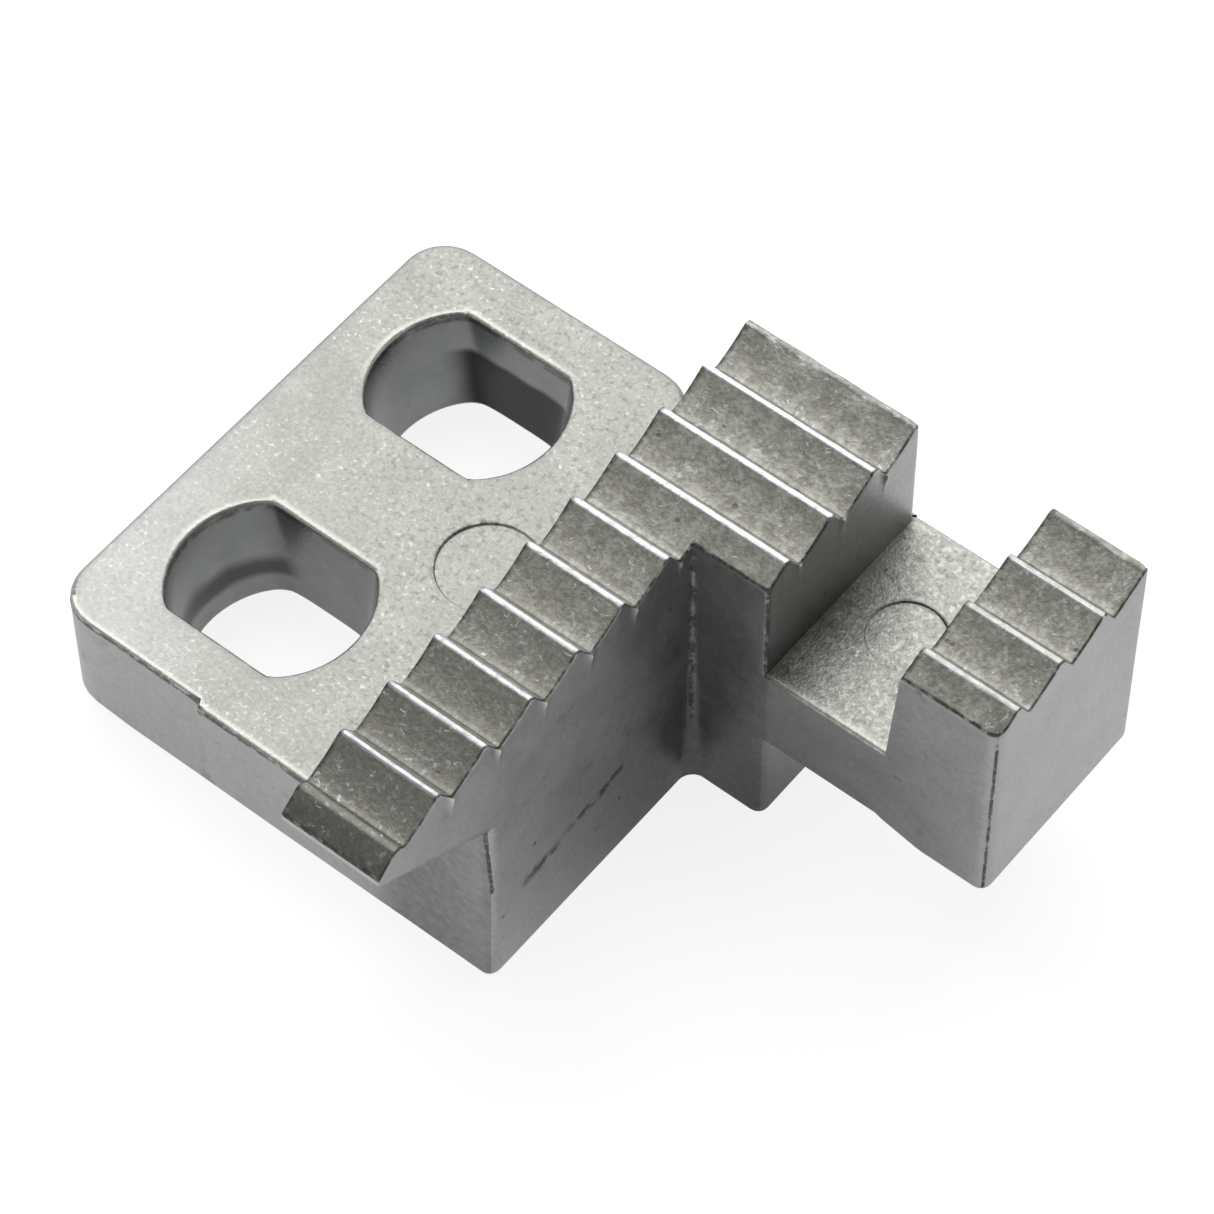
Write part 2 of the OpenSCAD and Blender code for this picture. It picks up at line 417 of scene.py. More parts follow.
def tooth_line(s, p, y):
    """Height of the saw-tooth line.

    A long slope rises to each tip and a short one falls behind it. The long slope is a parabola
    that starts flatter than its chord and ends steeper. The short one starts as a worn arc. The
    valley is their soft maximum, the tip their soft minimum, and in front the line is cut by the
    bevel that rises from the lip.
    """
    behind = (y - p.last_tip_y) % s.tooth_pitch
    run = s.tooth_pitch - s.tooth_back - s.tip_land
    arc_y, arc_drop = s.tip_roll * math.sin(ROLL_TURN), s.tip_roll * (1 - math.cos(ROLL_TURN))
    arc_z = s.tip_roll - np.sqrt(s.tip_roll**2 - np.minimum(behind, arc_y) ** 2)
    steep = (s.tooth_h - arc_drop) / (s.tooth_back - arc_y)
    falling = -arc_z - steep * np.clip(behind - arc_y, 0, None)
    along = (behind - s.tooth_back) / run
    rising = s.tooth_h * (along + s.scoop * (along**2 - along) - 1)
    line = soft_max(falling, rising, s.valley_round)
    line = soft_min(line, s.tooth_h * (behind + s.tip_land) / run, s.tip_round)
    bevel = p.lip_z + (y + s.lip_reach) * math.tan(s.bevel_angle)
    return np.minimum(soft_min(p.tip_z + line, bevel, s.nose_round), p.tip_z)


def rim_distances(s, p, x, y):
    """Distance in plan from each face's rim, for every kind of level face."""
    slots = [
        np.maximum(abs(x - p.slot_x) - p.slot_chord, abs(y - slot_y) - p.slot_half)
        for slot_y in p.slot_ys
    ]
    beyond = p.outer_x + p.tip_z
    d = SimpleNamespace()
    d.slots = np.minimum(*slots)
    d.outer = np.maximum(
        inset(x, y, 0, -beyond, p.lobe_x, p.plate_d), inset(x, y, 0, -beyond, beyond, s.row_d)
    )
    lobe = inset(x, y, 0, 0, p.lobe_x, p.plate_d)
    narrow = inset(x, y, 0, 0, p.narrow_x, s.row_d)
    wide = inset(x, y, 0, s.step_y, p.wide_x, s.row_d)
    d.base = np.minimum(np.maximum.reduce([lobe, narrow, wide]), d.slots)
    d.lip = inset(x, y, s.plate_w, -s.lip_reach, p.narrow_x, beyond)
    front = inset(x, y, s.plate_w, -s.lip_reach, p.narrow_x, s.row_d)
    d.row = np.maximum(front, inset(x, y, s.plate_w, s.step_y, p.wide_x, s.row_d))
    d.block = inset(x, y, p.block_x, s.step_y, p.outer_x, s.row_d)
    d.arm = inset(x, y, -beyond, s.step_y, beyond, s.row_d)
    d.arm_base = inset(x, y, -beyond, s.step_y, p.outer_x, s.row_d)
    return d


def casting_heights(s, p, x, y, z):
    """Moves the grid's level planes to the real faces, and spreads what is between them.

    Five planes of the grid stand for the underside, the plate's top with the arm's underside,
    the arm's top, the lip's underside and the teeth. Each gets its height over (x, y), less the
    fall of its rounded rim, and a point between two planes keeps its share of the way.
    """
    d = rim_distances(s, p, x, y)
    ramp = np.clip((x - p.block_foot_x) / s.arm_ramp_w, 0, 1)
    arm_base = s.arm_bottom_z + (s.block_bottom_z - s.arm_bottom_z) * ramp
    at_arm = np.clip((x - p.wide_x) / MM + 1, 0, 1)
    shelf = p.plate_t + (arm_base - p.plate_t) * at_arm
    shelf = shelf + fall(d.arm_base, s.rim_r) * (x >= p.wide_x)
    on_plate = x <= s.plate_w
    on_arm = (x >= p.wide_x) & (x <= p.block_x)
    underside = p.root_z - np.minimum(y, 0) * (s.root_depth - s.lip_depth - s.lip_t) / s.lip_reach
    crown = np.where(x <= p.wide_x, d.row, d.block)
    crisp_rim = fall(np.minimum(y, d.slots), s.rim_r)
    round_rim = np.maximum(fall(d.outer, s.plate_rim_r), crisp_rim)
    planes = [
        (0, fall(d.base, s.rim_r)),
        (p.plate_t, np.where(on_plate, p.plate_t - round_rim, shelf)),
        (s.arm_top_z, s.arm_top_z - on_arm * fall(d.arm, s.rim_r)),
        (p.root_z, underside + (y < 0) * fall(d.lip, s.tooth_rim_r)),
        (p.tip_z, tooth_line(s, p, y) - fall(crown, s.tooth_rim_r)),
    ]
    height = planes[0][1]
    for (z0, low), (z1, high) in itertools.pairwise(planes):
        height = height + np.clip((z - z0) / (z1 - z0), 0, 1) * (high - low)
    return height


def round_corner(x, y, where, corner_x, side_x, corner_y, side_y, radius):
    """Bends a square corner of the plan to an arc.

    In the corner's own square of side radius, a point keeps its direction from the inner corner
    and takes its larger offset as its distance, so that the two sides become one quarter circle.
    """
    across = (x - corner_x) * side_x + radius
    along = (y - corner_y) * side_y + radius
    larger = np.maximum(across, along)
    near = where & (across > 0) & (along > 0) & (larger <= 1.001 * radius)
    scale = np.where(near, larger / np.hypot(across, along).clip(1e-9), 1)
    return (
        np.where(near, corner_x + side_x * (across * scale - radius), x),
        np.where(near, corner_y + side_y * (along * scale - radius), y),
    )


def round_mark(x, y, where, mark):
    """Bends squares round an ejector mark to circles, and lets them go square again outside."""
    centre_x, centre_y, radius = mark
    dx, dy = x - centre_x, y - centre_y
    reach = np.maximum(abs(dx), abs(dy))
    square = np.clip((reach / radius - 1) / (MARK_FADE - 1), 0, 1)
    scale = reach / np.hypot(dx, dy).clip(1e-9)
    scale = np.where(where & (reach <= MARK_FADE * radius), scale + (1 - scale) * square, 1)
    return centre_x + dx * scale, centre_y + dy * scale


def soften_slot(s, p, x, y, z, slot_y, reach_out=0.8 * MM):
    """Tightens a slot a little and rounds its four corners, more so at the underside.

    Along each ray from the slot's middle the outline is the nearer of the circle and the flat.
    It is replaced by the hyperbola on which the distances from the two have a fixed product. The
    points outside follow it less and less, as far as reach_out.
    """
    dx, dy = x - p.slot_x, y - slot_y
    reach = np.hypot(dx, dy).clip(1e-9)
    sine = (abs(dy) / reach).clip(1e-3)
    to_flat = p.slot_half / sine
    width = s.slot_soft * (3 - 2 * np.clip(z / p.plate_t, 0, 1))
    rounded = p.slot_r + to_flat - np.sqrt((p.slot_r - to_flat) ** 2 + width**2 / sine)
    wall = np.minimum(p.slot_r, to_flat)
    fade = np.clip(1 - (reach - wall) / reach_out, 0, 1)
    fade = fade * (z <= p.plate_t) * (x < p.slot_x + 2 * p.slot_r)
    scale = 1 - (wall - rounded / 2 + s.slot_tight) * fade / reach
    return p.slot_x + dx * scale, slot_y + dy * scale


def plan_corners(s, p, z):
    """Every upright edge: where it applies, its corner's x and y, and its radius.

    Each coordinate is followed by the side of it, +1 or -1, that is outside.
    """
    low = z <= p.plate_t
    free = z < p.plate_t
    above, over_arm = z > p.plate_t, z > s.arm_top_z
    under_lip, lip = z < p.root_z, z >= p.root_z
    everywhere = z >= 0
    inner_r = s.inner_r * (1 - INNER_FADE * np.clip(z / s.arm_top_z, 0, 1))
    return [
        (low, 0, -1, 0, -1, s.corner_r),
        (low, 0, -1, p.plate_d, 1, s.corner_r),
        (low, p.lobe_x, 1, p.plate_d, 1, s.corner_r),
        (under_lip, p.narrow_x, 1, 0, -1, s.edge_r),
        (everywhere, p.narrow_x, -1, s.step_y, 1, inner_r),
        (free, p.wide_x, 1, s.step_y, -1, s.edge_r),
        (free, p.wide_x, 1, s.row_d, 1, s.edge_r),
        (over_arm, p.wide_x, 1, s.step_y, -1, s.crisp_r),
        (over_arm, p.wide_x, 1, s.row_d, 1, s.edge_r),
        (everywhere, p.outer_x, 1, s.step_y, -1, s.edge_r),
        (everywhere, p.outer_x, 1, s.row_d, 1, s.edge_r),
        (lip, s.plate_w, -1, -s.lip_reach, -1, s.tooth_rim_r),
        (lip, p.narrow_x, 1, -s.lip_reach, -1, s.tooth_rim_r),
        (above & under_lip, s.plate_w, -1, 0, -1, s.tooth_rim_r),
        (above, s.plate_w, -1, s.row_d, 1, s.tooth_rim_r),
        (over_arm, p.block_x, -1, s.step_y, -1, s.tooth_rim_r),
        (over_arm, p.block_x, -1, s.row_d, 1, s.tooth_rim_r),
    ]


def front_shift(s, p, x, y, z):
    """How far the front wall moves forwards.

    The pad stands proud between its two short sides, by a share that grows from the underside up.
    The run-out grows the other way, and starts beside the plate's rounded corner. Both fade out
    over the first millimetre behind the wall.
    """
    side = 0.08 * MM
    on_pad = np.clip((x - p.pad_x) / side, 0, 1) * np.clip((p.pad_x + s.pad_w - x) / side, 0, 1)
    up, from_corner = np.clip(z / p.plate_t, 0, 1), np.clip(x / (2 * s.corner_r), 0, 1)
    forward = s.pad_proud * on_pad * up * (x < s.plate_w) + s.front_draft * from_corner * (1 - up)
    near_front = np.clip(1 - y / MM, 0, 1) * (y >= 0) * (z <= p.plate_t) * (x <= p.narrow_x)
    return forward * near_front


def block_lean(s, p, x, z, height):
    """How far the block's inner wall leans to the row: its depth below the tips, times the draft.

    The lean fades out over 0.7 mm before the wall and over 0.7 of the block's width behind it.
    """
    lean = (p.tip_z - np.maximum(height, s.arm_top_z)) * math.tan(s.block_draft)
    before = np.clip((x - p.block_x) / (0.7 * MM) + 1, 0, 1)
    after = np.clip(1 - (x - p.block_x - s.tooth_rim_r) / (0.7 * s.block_w), 0, 1)
    return lean * np.minimum(before, after) * (z >= p.plate_t)


def slot_ends(s, p, x, y, z):
    """Bends the slots' straight ends to arcs, softens them, and narrows them to the underside.

    An end moves out by the circle's height over its chord, and in by the taper's share of the
    depth times the sine of its place along x. Both fade out over the plate beside the slot.
    """
    keep, reach = 2 * s.rim_r, p.slot_r * 0.8
    from_slot = (x - p.slot_x) * (z <= p.plate_t)
    out = abs(from_slot) - p.slot_chord
    fade = np.clip((reach - out) / (reach - keep), 0, 1) * (out > -NEAR)
    from_flats = [abs(y - slot_y) for slot_y in p.slot_ys]
    new_x, new_y = x, y
    for from_flat in from_flats:
        bulge = np.sqrt(p.slot_r**2 - np.minimum(from_flat, p.slot_half) ** 2) - p.slot_chord
        new_x = new_x + np.sign(from_slot) * bulge * fade
    for slot_y in p.slot_ys:
        new_x, new_y = soften_slot(s, p, new_x, new_y, z, slot_y)
    deep = (1 - np.clip(z / p.plate_t, 0, 1)) * np.where(out > 0, fade, 1)
    for from_flat in from_flats:
        beside = np.clip((from_flat - p.slot_half) / MM, 0, 1)
        to_end = np.sin(math.pi / 2 * np.clip((new_x - p.slot_x) / p.slot_r, -1, 1))
        new_x = new_x - s.slot_taper * to_end * deep * (1 - beside)
    return new_x, new_y


def casting_plan_points(s, p, x, y, z, height):
    """Moves the grid's points in plan: slots, block draft, upright edges, pad and marks."""
    new_x, new_y = slot_ends(s, p, x, y, z)
    new_x = new_x - block_lean(s, p, x, z, height)
    for corner in plan_corners(s, p, z):
        new_x, new_y = round_corner(new_x, new_y, *corner)
    new_y = new_y - front_shift(s, p, x, y, z)
    on_arm = at(z, s.arm_top_z) & (x > p.wide_x) & (x < p.block_x)
    new_x, new_y = round_mark(new_x, new_y, at(z, p.plate_t) & (x < s.plate_w), p.plate_mark)
    return round_mark(new_x, new_y, on_arm, p.arm_mark)


def mark_sink(s, p, x, y, z):
    """Depth of the two ejector marks, sharp at their own circles."""
    sink = np.zeros_like(x)
    marks = (p.plate_t, *p.plate_mark), (s.arm_top_z, *p.arm_mark)
    for plane, centre_x, centre_y, radius in marks:
        reach = np.maximum(abs(x - centre_x), abs(y - centre_y))
        sink[(reach < radius - NEAR) & at(z, plane)] = s.mark_depth
    return sink


def value_noise(points, size, seed):
    """A smooth random field from -1 to 1.

    Random values sit on a cubic grid of that size. A point takes the blend of its cell's eight
    corners, weighted by the smooth steps of its place in the cell.
    """
    values = np.random.default_rng(seed).uniform(-1, 1, (32, 32, 32))
    cell = np.floor(points / size).astype(int)
    t = points / size - cell
    t = t * t * (3 - 2 * t)
    total = np.zeros(len(points))
    for corner in itertools.product((0, 1), repeat=3):
        weight = np.prod(np.where(corner, t, 1 - t), axis=1)
        total += weight * values[tuple((cell + corner).T % 32)]
    return total


def vertex_normals(points, quads):
    """Unit normals: the cross products of the quads' diagonals, summed at their corners."""
    a, b, c, d = (points[quads[:, i]] for i in range(4))
    area = np.cross(c - a, d - b)
    total = np.zeros_like(points)
    for i in range(4):
        np.add.at(total, quads[:, i], area)
    return total / np.linalg.norm(total, axis=1, keepdims=True).clip(1e-12)


def bell(distance, width):
    """1 at distance 0, falling off like a bell curve of that width."""
    return np.exp(-((distance / width) ** 2))


def skin_places(s, p, x, y, z, height):
    """What the wear, grime, painted shade and painted highlights below are placed by: where each
    point is on the casting.

    A slot's near side is the one to the front and the row, and its far side the other.
    """
    g = SimpleNamespace(x=x, y=y, z=z, height=height, d=rim_distances(s, p, x, y))
    g.on_plate = (x <= s.plate_w) & (z <= p.plate_t)
    g.on_arm = (x > p.wide_x) & (x < p.block_x) & (z <= s.arm_top_z)
    g.on_teeth = at(z, p.tip_z)
    g.toothed = ~g.on_plate & ~g.on_arm & ((x <= p.wide_x) | (z > s.arm_top_z - MM))
    g.depth = tooth_line(s, p, y) - height
    g.behind = (y - p.last_tip_y) % s.tooth_pitch
    g.right = x - p.narrow_x
    g.front_y, g.back_y = (slot_y + p.slot_half for slot_y in p.slot_ys)
    in_slot = at(g.d.slots, 0) & (z <= p.plate_t)
    in_front = y <= g.front_y + NEAR
    g.front_slot, g.back_slot = in_slot & in_front, in_slot & ~in_front
    slot_y = np.where(y > (g.front_y + g.back_y) / 2 - p.slot_half, *p.slot_ys[::-1])
    near = (x - p.slot_x - 1.2 * (y - slot_y)) / p.slot_half
    g.near_side, g.far_side = np.clip(near, 0, 1), np.clip(-near, 0, 1)
    return g


def dark_and_shaded_lines(s, p, g):
    """Thin dark lines, from 0 to 1, each a bell curve over the distance from its edge.

    In turn: the toothed faces' outlines, the rearmost tips, the plate's front edge, the pad's
    joint and its step, painted shade down the row's front corner, a streak of smudges behind it,
    painted shade in the step's inner corner and on two upright edges, painted shade on one side
    of each ejector mark, and painted shade below the slots' rims and along their near rims.
    """
    x, y, z, height = g.x, g.y, g.z, g.height
    inward = np.clip(np.where(x <= p.wide_x, g.d.row, g.d.block), 0, None)
    from_rim = np.clip(np.hypot(inward, g.depth) - 0.41 * s.tooth_rim_r, 0, None)
    from_joint, down = x - p.pad_x, p.plate_t - height
    joint = bell(from_joint - 0.05 * MM, 0.06 * MM) * np.clip(1.5 - height / (2 * MM), 0, 1)
    pad_step = bell(np.hypot(from_joint - 0.1 * MM, down - 0.1 * MM), 0.2 * MM)
    # painted shade down the row's front corner, where that edge is seen as a dark line
    corner_shade_foot, corner_shade_height = 3.9 * MM, 3.1 * MM
    corner_shade_up = (height - corner_shade_foot) / corner_shade_height
    on_corner_shade = (at(y, 0) | at(g.right, 0)) & (abs(y) < 0.4 * MM) & (corner_shade_up > 0) & (corner_shade_up < 1)
    streak_front, streak_back, streak_foot, streak_rise = 1.2 * MM, 5.4 * MM, 2.75 * MM, 0.17
    on_streak = at(g.right, 0) & (y > streak_front) & (y < streak_back)
    from_inner = g.right + s.step_y - y
    in_inner = (g.right >= 0) & (x <= p.wide_x) & (y <= s.step_y)
    # most of these lines are painted shade along edges and in corners; the pad's joint and the
    # streak of smudges are marks on the steel
    lines = [
        0.9 * g.toothed * bell(from_rim, 0.05 * MM),
        0.5 * g.on_teeth * bell(y - p.last_tip_y + 0.05 * MM, 0.13 * MM),
        g.on_plate * (y < MM) * bell(np.hypot(y, down - s.rim_r), 0.09 * MM),
        0.7 * joint * at(y, 0) * (z < p.plate_t),
        pad_step * (abs(y) < 0.1 * MM),
        3 * on_corner_shade * bell(g.right + y - (0.08 - 0.2 * corner_shade_up) * MM, 0.065 * MM),
        0.85 * on_streak * bell(height - streak_foot - streak_rise * y, 0.2 * MM),
        in_inner * bell(from_inner, 0.22 * MM) * np.clip(height / (5 * MM), 0.25, 0.7),
        1.3 * (z > p.plate_t) * bell(np.hypot(x - p.outer_x, y - s.step_y), 0.075 * MM),
        0.8 * (z > s.arm_top_z) * bell(np.hypot(x - p.wide_x, y - s.step_y), 0.12 * MM),
        0.8 * (g.front_slot | g.back_slot) * bell(down - 0.2 * MM, 0.1 * MM),
        0.9 * g.on_plate * g.near_side * (g.d.slots > -NEAR) * bell(g.d.slots, 0.09 * MM),
    ]
    marks = (p.plate_t, *p.plate_mark, -1, 0.5), (s.arm_top_z, *p.arm_mark, 0.3, 1)
    for plane, centre_x, centre_y, radius, side_x, side_y in marks:
        dx, dy = x - centre_x, y - centre_y
        away = np.maximum(abs(dx), abs(dy)) - radius
        side = np.clip(0.3 + 0.6 * (dx * side_x + dy * side_y) / radius, 0, 1)
        lines.append(0.75 * side * bell(away, 0.045 * MM) * at(z, plane))
    return np.maximum.reduce(lines)


def painted_shade_in_nooks(s, p, g):
    """Painted shade in corners, from 0 to 1, fading with the distance.

    In turn: the step's inner corner, the row's wall above the arm, the lip's painted shadow on
    the front wall under it, the front slot's back flat, the lip's bevel, and the foot of the row
    along the plate.
    """
    x, y, z, height = g.x, g.y, g.z, g.height
    to_step = np.hypot(np.clip(g.right, 0, None), s.step_y - np.minimum(y, s.step_y))
    beside_step = (g.right >= 0) & (x <= p.wide_x) & (y <= s.step_y)
    over_arm = np.hypot(np.clip(x - p.wide_x, 0, None), np.clip(height - s.arm_top_z, 0, None))
    beside_row = at(x, p.wide_x) | (x >= p.wide_x) & (x < p.block_x) & (y < s.row_d)
    to_rear = np.clip((s.row_d - y) / (4 * MM), 0.1, 1)
    from_lip = x - s.plate_w
    # the lip's painted shadow on the front wall under it
    under_lip = (y <= 0) & (x <= p.narrow_x) & (z <= np.where(from_lip >= 0, p.root_z, p.plate_t))
    lip_shade = np.clip(1 + from_lip / (1.2 * MM), 0, 1)
    lip_shade *= np.clip(1.2 - from_lip / (6 * MM), 0.4, 1)
    row_foot = bell(np.hypot(from_lip, height - p.plate_t), 0.4 * MM)
    return np.maximum.reduce([
        0.6 * bell(to_step, 3.5 * MM) * beside_step,
        0.85 * bell(over_arm, 1.1 * MM) * beside_row * (z >= s.arm_top_z) * to_rear,
        0.85 * under_lip * lip_shade,
        0.6 * g.front_slot * bell(y - g.front_y, 0.3 * MM),
        0.6 * g.on_teeth * np.clip(1.1 - (y + s.lip_reach) / (1.1 * MM), 0, 1),
        row_foot * (from_lip <= 0) * (y < s.row_d),
    ])


def burr_places(s, p, g):
    """Where burrs stand on the right walls: a narrow bell below the end of each valley."""
    wall = at(g.right, 0) | at(g.x, p.wide_x) & (g.y > s.step_y)
    teeth = (g.y > s.tooth_pitch - s.lip_reach) & (g.y < p.last_tip_y - 0.1 * MM) & g.toothed
    return wall * teeth * bell(g.behind - s.tooth_back, 0.06 * MM) * bell(g.depth, 0.4 * MM)


def polish_and_painted_highlights(s, p, g):
    """Polish and painted highlights along edges, from 0 to 1, on one face each.

    In turn: the tips, rubbed bright and with a painted highlight over that; painted highlights
    beside the slots' far rims and along the plate's and the arm's front rims; and a painted
    highlight on the lip's front.
    """
    x, y = g.x, g.y
    from_tip = np.minimum(g.behind, s.tooth_pitch - g.behind - s.tip_land).clip(0)
    keen = (g.behind < 0.9 * s.tooth_back) | (g.behind > s.tooth_pitch - s.tip_land - 0.03 * MM)
    keen &= g.on_teeth & (y > s.tooth_pitch - s.lip_reach) & (y < p.last_tip_y + 0.04 * MM)
    tips = keen * np.clip(1.15 - 0.5 * from_tip / s.tooth_back, 0, 1)
    tips *= np.where(y > p.last_tip_y - 0.5 * MM, 0.35, 1)
    tips *= np.where(x > p.wide_x + MM, 0.5, 1)
    # painted highlights along the plate's and the arm's front rims and beside the slots' far rims
    front_rim = bell(np.hypot(y - s.rim_r, p.plate_t - g.height), 0.06 * MM)
    arm_rim = bell(np.hypot(y - s.step_y - s.rim_r, s.arm_top_z - g.height), 0.07 * MM)
    slot_rim = g.far_side * bell(g.d.slots - 0.12 * MM, 0.06 * MM)
    return np.maximum.reduce([
        tips,
        0.6 * slot_rim * g.on_plate * at(g.z, p.plate_t),
        0.6 * front_rim * g.on_plate * (y > 0),
        0.7 * arm_rim * g.on_arm,
        0.3 * at(y, -s.lip_reach) * (x > s.plate_w - NEAR),
    ])


def surface_marks(s, p, x, y, z, height):
    """The attributes by which the materials place wear, grime, polish, painted shade and painted
    highlights, each from 0 to 1.

    ink: thin dark lines, most of them painted shade. nook: painted shade in
    corners. edge: polish and painted highlights, also on the burrs. burr: where
    the burrs stand. tip: height on the toothed faces, and 1 all over the arm's top. rim: the
    plate's outer rim and the slots' near rims, where the top is darkened as painted shade.
    band and pool: painted shade in the front and back slot.
    """
    g = skin_places(s, p, x, y, z, height)
    burr = burr_places(s, p, g)
    # rims that the top's material darkens as painted shade
    outer_rim = g.on_plate * (1 - np.clip(g.d.outer / (1.3 * s.plate_rim_r), 0, 1))
    near_rim = g.on_plate * g.near_side * np.clip(1 - g.d.slots / (0.22 * MM), 0, 1)
    to_arc = np.clip(x - p.slot_x + p.slot_chord, 0, None)
    return {
        "ink": dark_and_shaded_lines(s, p, g) * (1 - burr),
        "nook": painted_shade_in_nooks(s, p, g),
        "edge": np.maximum(polish_and_painted_highlights(s, p, g), burr),
        "burr": burr,
        "tip": np.clip(1 - g.depth / s.tooth_h, 0, 1) * g.on_teeth + g.on_arm * at(z, s.arm_top_z),
        "rim": np.maximum(outer_rim, near_rim),
        "band": g.front_slot * bell(to_arc, 0.5 * MM),
        "pool": g.back_slot * bell(g.back_y - y, 0.45 * MM),
    }


def face_finishes(p, corners, axes, sides):
    """Which finish each quad gets, by its place on the grid and the way it faces."""
    middle = corners.mean(axis=1)
    between = np.any([abs(middle[:, 1] - slot_y) < p.slot_half + NEAR for slot_y in p.slot_ys], 0)
    in_slot = between & (abs(middle[:, 0] - p.slot_x) < p.slot_chord + NEAR) & (axes != 2)
    facing_up = (axes == 2) & (sides > 0)
    finish = np.full(len(axes), FINISHES.index("moulded_wall"))
    finish[facing_up] = FINISHES.index("satin_top")
    finish[facing_up & at(middle[:, 2], p.tip_z)] = FINISHES.index("tooth_face")
    finish[in_slot] = FINISHES.index("slot_wall")
    return finish


def casting_skin(s):
    """The casting's closed skin: points, quads, finish of each quad, and its point attributes.

    The points are the grid's, moved to the real faces. They are sunk along their normals by an
    even noise, and more on the teeth. The rearmost tips are chipped and the burrs stand out.
    """
    p = casting_plan(s)
    lines = lattice_lines(s, p)
    grid, quads, axes, sides = boundary_quads(filled_cells(s, p, lines))
    x, y, z = (line[grid[:, i]] for i, line in enumerate(lines))
    height = casting_heights(s, p, x, y, z) - mark_sink(s, p, x, y, z)
    points = np.stack([*casting_plan_points(s, p, x, y, z, height), height], 1)
    marks = surface_marks(s, p, x, y, z, height)
    on_teeth = at(z, p.tip_z)

    dent = value_noise(points, 0.7 * MM, 11) + 0.5 * value_noise(points, 0.3 * MM, 12)
    swell = value_noise(points, 1.6 * MM, 13)
    chip = np.clip(value_noise(points, 0.45 * MM, 15) + 0.1, 0, 1)
    sink = s.waviness * (1 + swell) + s.tooth_wear * on_teeth * (0.5 + 0.33 * dent)
    points -= vertex_normals(points, quads) * sink[:, None]
    points[:, 2] -= s.chipping * chip * bell(y - p.last_tip_y, 0.2 * MM) * on_teeth
    points[:, 0] += s.burr * marks.pop("burr")
    finish = face_finishes(p, np.stack([x, y, z], 1)[quads], axes, sides)
    return points + p.origin, quads, finish, marks


def mesh_from_quads(name, points, quads, finish, attributes):
    """A smooth mesh with one material index for each quad and float attributes on its points."""
    mesh = bpy.data.meshes.new(name)
    mesh.vertices.add(len(points))
    mesh.vertices.foreach_set("co", points.astype(np.float32).ravel())
    mesh.loops.add(quads.size)
    mesh.loops.foreach_set("vertex_index", quads.astype(np.int32).ravel())
    mesh.polygons.add(len(quads))
    mesh.polygons.foreach_set("loop_start", np.arange(0, quads.size, 4, dtype=np.int32))
    mesh.polygons.foreach_set("material_index", finish.astype(np.int32))
    mesh.update(calc_edges=True)
    for key, values in attributes.items():
        layer = mesh.attributes.new(key, "FLOAT", "POINT")
        layer.data.foreach_set("value", values.astype(np.float32))
    mesh.shade_smooth()
    mesh.set_sharp_from_angle(angle=SHARP_TURN)
    mesh.validate()
    return mesh


# ---------------------------------------------------------------- materials

FINISHES = ["satin_top", "tooth_face", "moulded_wall", "slot_wall"]


def rgba(value, factor=1.0):
    """A colour with full alpha, made lighter or darker by a factor."""
    return (*[min(c * factor, 1.0) for c in value], 1.0)


class Nodes:
    """Short calls that add nodes to one shader tree and give their outputs."""

    def __init__(self, tree, position=None):
        self.tree, self.position = tree, position
        if position is None:
            self.position = self.put("ShaderNodeTexCoord")["Object"]

    def put(self, kind, inputs=None, **settings):
        """Adds a node, sets its settings, and sets or links its inputs."""
        node = self.tree.nodes.new(kind)
        for key, value in settings.items():
            setattr(node, key, value)
        for key, value in (inputs or {}).items():
            if isinstance(value, bpy.types.NodeSocket):
                self.tree.links.new(value, node.inputs[key])
            else:
                node.inputs[key].default_value = value
        return node.outputs

    def math(self, operation, *values):
        """The result of one operation on the values."""
        return self.put("ShaderNodeMath", dict(enumerate(values)), operation=operation)[0]

    def times(self, *values):
        """The product of the values."""
        return functools.reduce(functools.partial(self.math, "MULTIPLY"), values)

    def total(self, first, *terms):
        """The first value, plus each further value times its weight."""
        for value, weight in terms:
            first = self.math("MULTIPLY_ADD", value, weight, first)
        return first

    def ramp(self, value, low, high, to_low=0.0, to_high=1.0):
        """A smooth step of value from low to high, given out from to_low to to_high."""
        inputs = dict(enumerate((value, low, high, to_low, to_high)))
        return self.put("ShaderNodeMapRange", inputs, interpolation_type="SMOOTHSTEP")[0]

    def blend(self, factor, a, b):
        """Colour a at factor 0 and colour b at factor 1."""
        return self.put("ShaderNodeMix", {0: factor, 6: a, 7: b}, data_type="RGBA")[2]

    def paint(self, base, *coats):
        """Lays coats over a base colour. A coat is its colour and what masks it."""
        for colour, *masks in coats:
            base = self.blend(self.times(*masks), base, colour)
        return base

    def noise(self, size, detail=2.0, roughness=0.5, distortion=0.0):
        """Noise whose features are about size metres wide."""
        inputs = {
            "Vector": self.position, "Scale": self.math("DIVIDE", 1.0, size),
            "Detail": detail, "Roughness": roughness, "Distortion": distortion,
        }
        return self.put("ShaderNodeTexNoise", inputs)["Fac"]

    def spots(self, size, low, high, to_low=0.0, to_high=1.0, **settings):
        """Patches about size metres wide: noise, put through a ramp."""
        return self.ramp(self.noise(size, **settings), low, high, to_low, to_high)

    def attribute(self, name):
        """A float attribute of the mesh."""
        return self.put("ShaderNodeAttribute", attribute_name=name)["Fac"]


